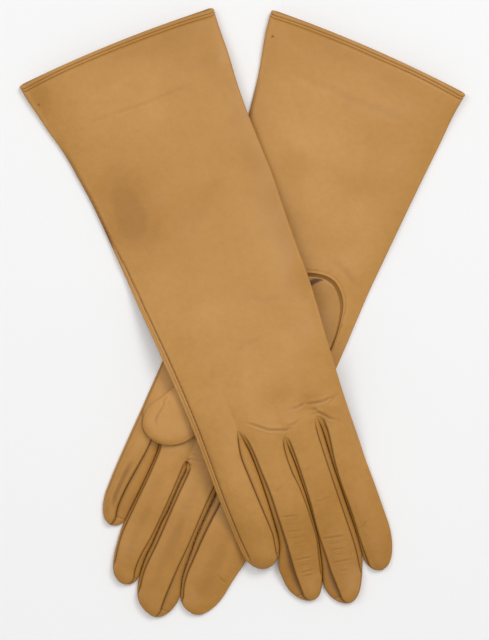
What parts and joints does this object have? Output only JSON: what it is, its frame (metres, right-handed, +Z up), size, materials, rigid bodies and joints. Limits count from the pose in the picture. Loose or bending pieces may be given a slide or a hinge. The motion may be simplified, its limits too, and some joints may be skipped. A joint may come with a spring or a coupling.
{
  "type": "opera gloves",
  "caption": "Long tan leather gloves laid crossed on a table, palm up below and back up above, with fingers and a thumb tip that fold up and an upper glove that lifts off.",
  "frame": {"origin": "on the table top, under the middle of the pair's outline", "axes": "+Z up from the table; +Y from the fingertips towards the cuffs, between the two gloves; +X towards the side where the lower glove's cuff lies"},
  "size_m": [0.2452, 0.3346, 0.0204],
  "materials": {
    "outer_skin": "smooth satin lambskin",
    "hem_skin": "smooth satin lambskin, turned in and sewn",
    "fourchette_skin": "smooth satin lambskin, in shade",
    "thread": "twisted sewing thread"
  },
  "bodies": {
    "left_glove": {"left_back_panel": "outer_skin", "left_palm_panel": "outer_skin", "left_back_hem": "hem_skin", "left_palm_hem": "hem_skin", "left_hem_thread": "thread", "left_side_seam_thread": "thread", "left_pairing_tack": "thread", "left_thumb_outer": "outer_skin", "left_thumb_inner": "outer_skin", "left_pinky_ring_fourchette": "fourchette_skin", "left_ring_middle_fourchette": "fourchette_skin", "left_middle_index_fourchette": "fourchette_skin"},
    "left_pinky": {"left_pinky_back": "outer_skin", "left_pinky_palm": "outer_skin", "left_pinky_far_strip": "fourchette_skin"},
    "left_ring": {"left_ring_back": "outer_skin", "left_ring_palm": "outer_skin", "left_ring_far_strip": "fourchette_skin", "left_ring_near_strip": "fourchette_skin"},
    "left_middle": {"left_middle_back": "outer_skin", "left_middle_palm": "outer_skin", "left_middle_far_strip": "fourchette_skin", "left_middle_near_strip": "fourchette_skin"},
    "left_index": {"left_index_back": "outer_skin", "left_index_palm": "outer_skin", "left_index_near_strip": "fourchette_skin"},
    "right_glove": {"right_back_panel": "outer_skin", "right_palm_panel": "outer_skin", "right_back_hem": "hem_skin", "right_palm_hem": "hem_skin", "right_hem_thread": "thread", "right_side_seam_thread": "thread", "right_pairing_tack": "thread", "right_thumb_outer": "outer_skin", "right_thumb_inner": "outer_skin", "right_pinky_ring_fourchette": "fourchette_skin", "right_ring_middle_fourchette": "fourchette_skin", "right_middle_index_fourchette": "fourchette_skin"},
    "right_pinky": {"right_pinky_back": "outer_skin", "right_pinky_palm": "outer_skin", "right_pinky_far_strip": "fourchette_skin"},
    "right_ring": {"right_ring_back": "outer_skin", "right_ring_palm": "outer_skin", "right_ring_far_strip": "fourchette_skin", "right_ring_near_strip": "fourchette_skin"},
    "right_middle": {"right_middle_back": "outer_skin", "right_middle_palm": "outer_skin", "right_middle_far_strip": "fourchette_skin", "right_middle_near_strip": "fourchette_skin"},
    "right_index": {"right_index_back": "outer_skin", "right_index_palm": "outer_skin", "right_index_near_strip": "fourchette_skin"},
    "left_thumb_end": {"left_thumb_end_outer": "outer_skin", "left_thumb_end_inner": "outer_skin"}
  },
  "joints": [
    {"name": "right_glove_lift", "type": "slide", "parent": "left_glove", "child": "right_glove", "axis": [0, 0, 1], "range_m": [0, 0.12]},
    {"name": "left_pinky_fold", "type": "hinge", "parent": "left_glove", "child": "left_pinky", "pos_m": [-0.0608, -0.08631, 0.00602], "axis": [-0.9197, 0.3926, 0], "range_deg": [0, 80]},
    {"name": "left_ring_fold", "type": "hinge", "parent": "left_glove", "child": "left_ring", "pos_m": [-0.05089, -0.10806, 0.00722], "axis": [-0.9255, 0.3788, 0], "range_deg": [0, 80]},
    {"name": "left_middle_fold", "type": "hinge", "parent": "left_glove", "child": "left_middle", "pos_m": [-0.03223, -0.11945, 0.00722], "axis": [-0.9313, 0.3642, 0], "range_deg": [0, 80]},
    {"name": "left_index_fold", "type": "hinge", "parent": "left_glove", "child": "left_index", "pos_m": [-0.0108, -0.13204, 0.00602], "axis": [-0.9199, 0.3922, 0], "range_deg": [0, 80]},
    {"name": "left_thumb_end_fold", "type": "hinge", "parent": "left_glove", "child": "left_thumb_end", "pos_m": [-0.03761, -0.05386, 0.0106], "axis": [-0.5693, 0.8221, 0], "range_deg": [0, 70]},
    {"name": "right_pinky_fold", "type": "hinge", "parent": "right_glove", "child": "right_pinky", "pos_m": [-0.00136, -0.1001, 0.01638], "axis": [-0.939, -0.3441, 0], "range_deg": [0, 80]},
    {"name": "right_ring_fold", "type": "hinge", "parent": "right_glove", "child": "right_ring", "pos_m": [0.0207, -0.10412, 0.01451], "axis": [-0.9661, -0.2582, 0], "range_deg": [0, 80]},
    {"name": "right_middle_fold", "type": "hinge", "parent": "right_glove", "child": "right_middle", "pos_m": [0.04379, -0.10235, 0.01008], "axis": [-0.9675, -0.2529, 0], "range_deg": [0, 80]},
    {"name": "right_index_fold", "type": "hinge", "parent": "right_glove", "child": "right_index", "pos_m": [0.0615, -0.08872, 0.00601], "axis": [-0.9535, -0.3013, 0], "range_deg": [0, 80]}
  ]
}
